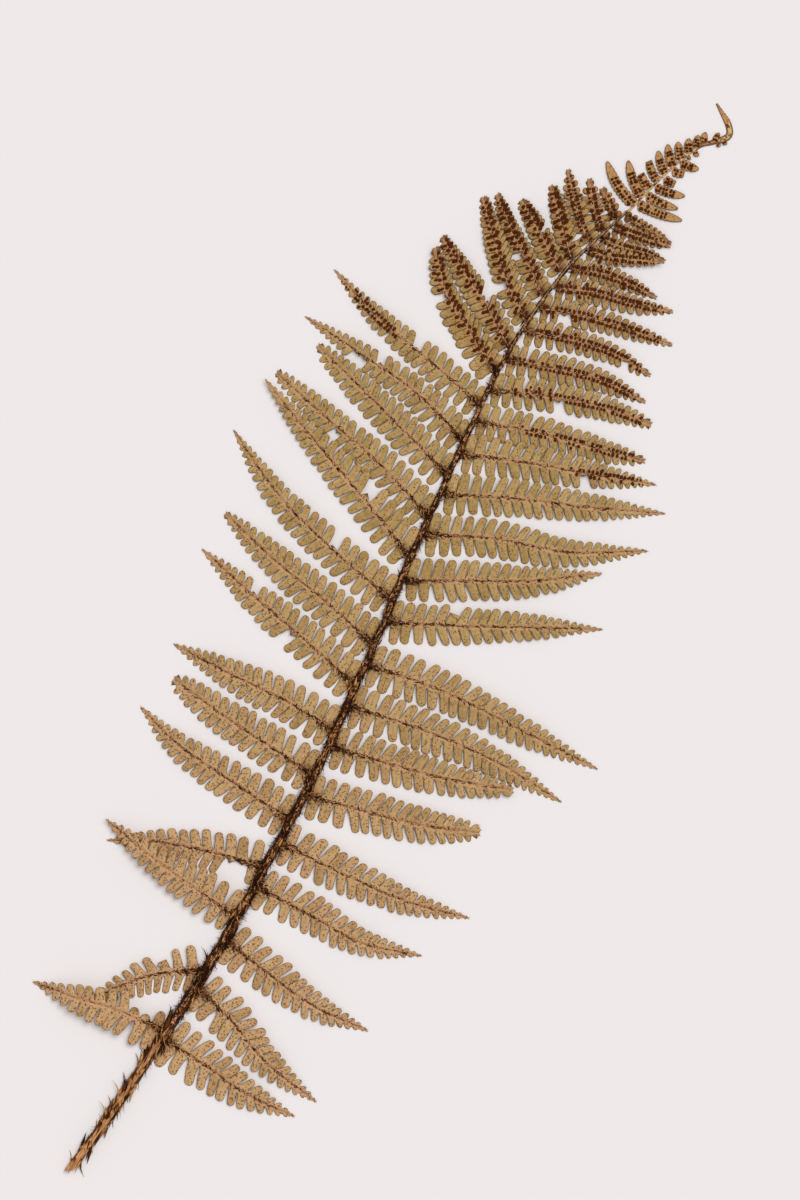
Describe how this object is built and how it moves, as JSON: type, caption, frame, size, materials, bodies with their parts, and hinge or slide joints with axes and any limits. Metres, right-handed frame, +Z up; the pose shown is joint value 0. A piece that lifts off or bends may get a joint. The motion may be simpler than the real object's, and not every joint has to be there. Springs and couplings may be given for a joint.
{
  "type": "scaly male fern frond",
  "caption": "Pressed, dried fern frond lying flat, underside up: a scaly brown stalk with comb-shaped pinnae on both sides and a small hooked apex.",
  "frame": {"origin": "the middle of the frond's bounding box, on the surface that it lies on", "axes": "+Y along the frond from the cut base of its stalk to its tip, +Z up out of its underside, which faces up, +X to the right as seen from above"},
  "size_m": [0.1863, 0.4753, 0.006],
  "materials": {
    "stalk": "matt, rough with brown scales",
    "pinna": "matt dried leaf",
    "frond_tip": "matt dried leaf"
  },
  "bodies": {
    "root": {"stalk": "stalk", "frond_tip": "frond_tip", "pinna_left_01": "pinna", "pinna_left_02": "pinna", "pinna_left_03": "pinna", "pinna_left_04": "pinna", "pinna_left_05": "pinna", "pinna_left_06": "pinna", "pinna_left_07": "pinna", "pinna_left_08": "pinna", "pinna_left_09": "pinna", "pinna_left_10": "pinna", "pinna_left_11": "pinna", "pinna_left_12": "pinna", "pinna_left_13": "pinna", "pinna_left_14": "pinna", "pinna_left_15": "pinna", "pinna_left_16": "pinna", "pinna_left_17": "pinna", "pinna_left_18": "pinna", "pinna_left_19": "pinna", "pinna_left_20": "pinna", "pinna_left_21": "pinna", "pinna_left_22": "pinna", "pinna_left_23": "pinna", "pinna_left_24": "pinna", "pinna_right_01": "pinna", "pinna_right_02": "pinna", "pinna_right_03": "pinna", "pinna_right_04": "pinna", "pinna_right_05": "pinna", "pinna_right_06": "pinna", "pinna_right_07": "pinna", "pinna_right_08": "pinna", "pinna_right_09": "pinna", "pinna_right_10": "pinna", "pinna_right_11": "pinna", "pinna_right_12": "pinna", "pinna_right_13": "pinna", "pinna_right_14": "pinna", "pinna_right_15": "pinna", "pinna_right_16": "pinna", "pinna_right_17": "pinna", "pinna_right_18": "pinna", "pinna_right_19": "pinna", "pinna_right_20": "pinna", "pinna_right_21": "pinna", "pinna_right_22": "pinna", "pinna_right_23": "pinna", "pinna_right_24": "pinna", "pinna_right_25": "pinna"}
  },
  "joints": []
}
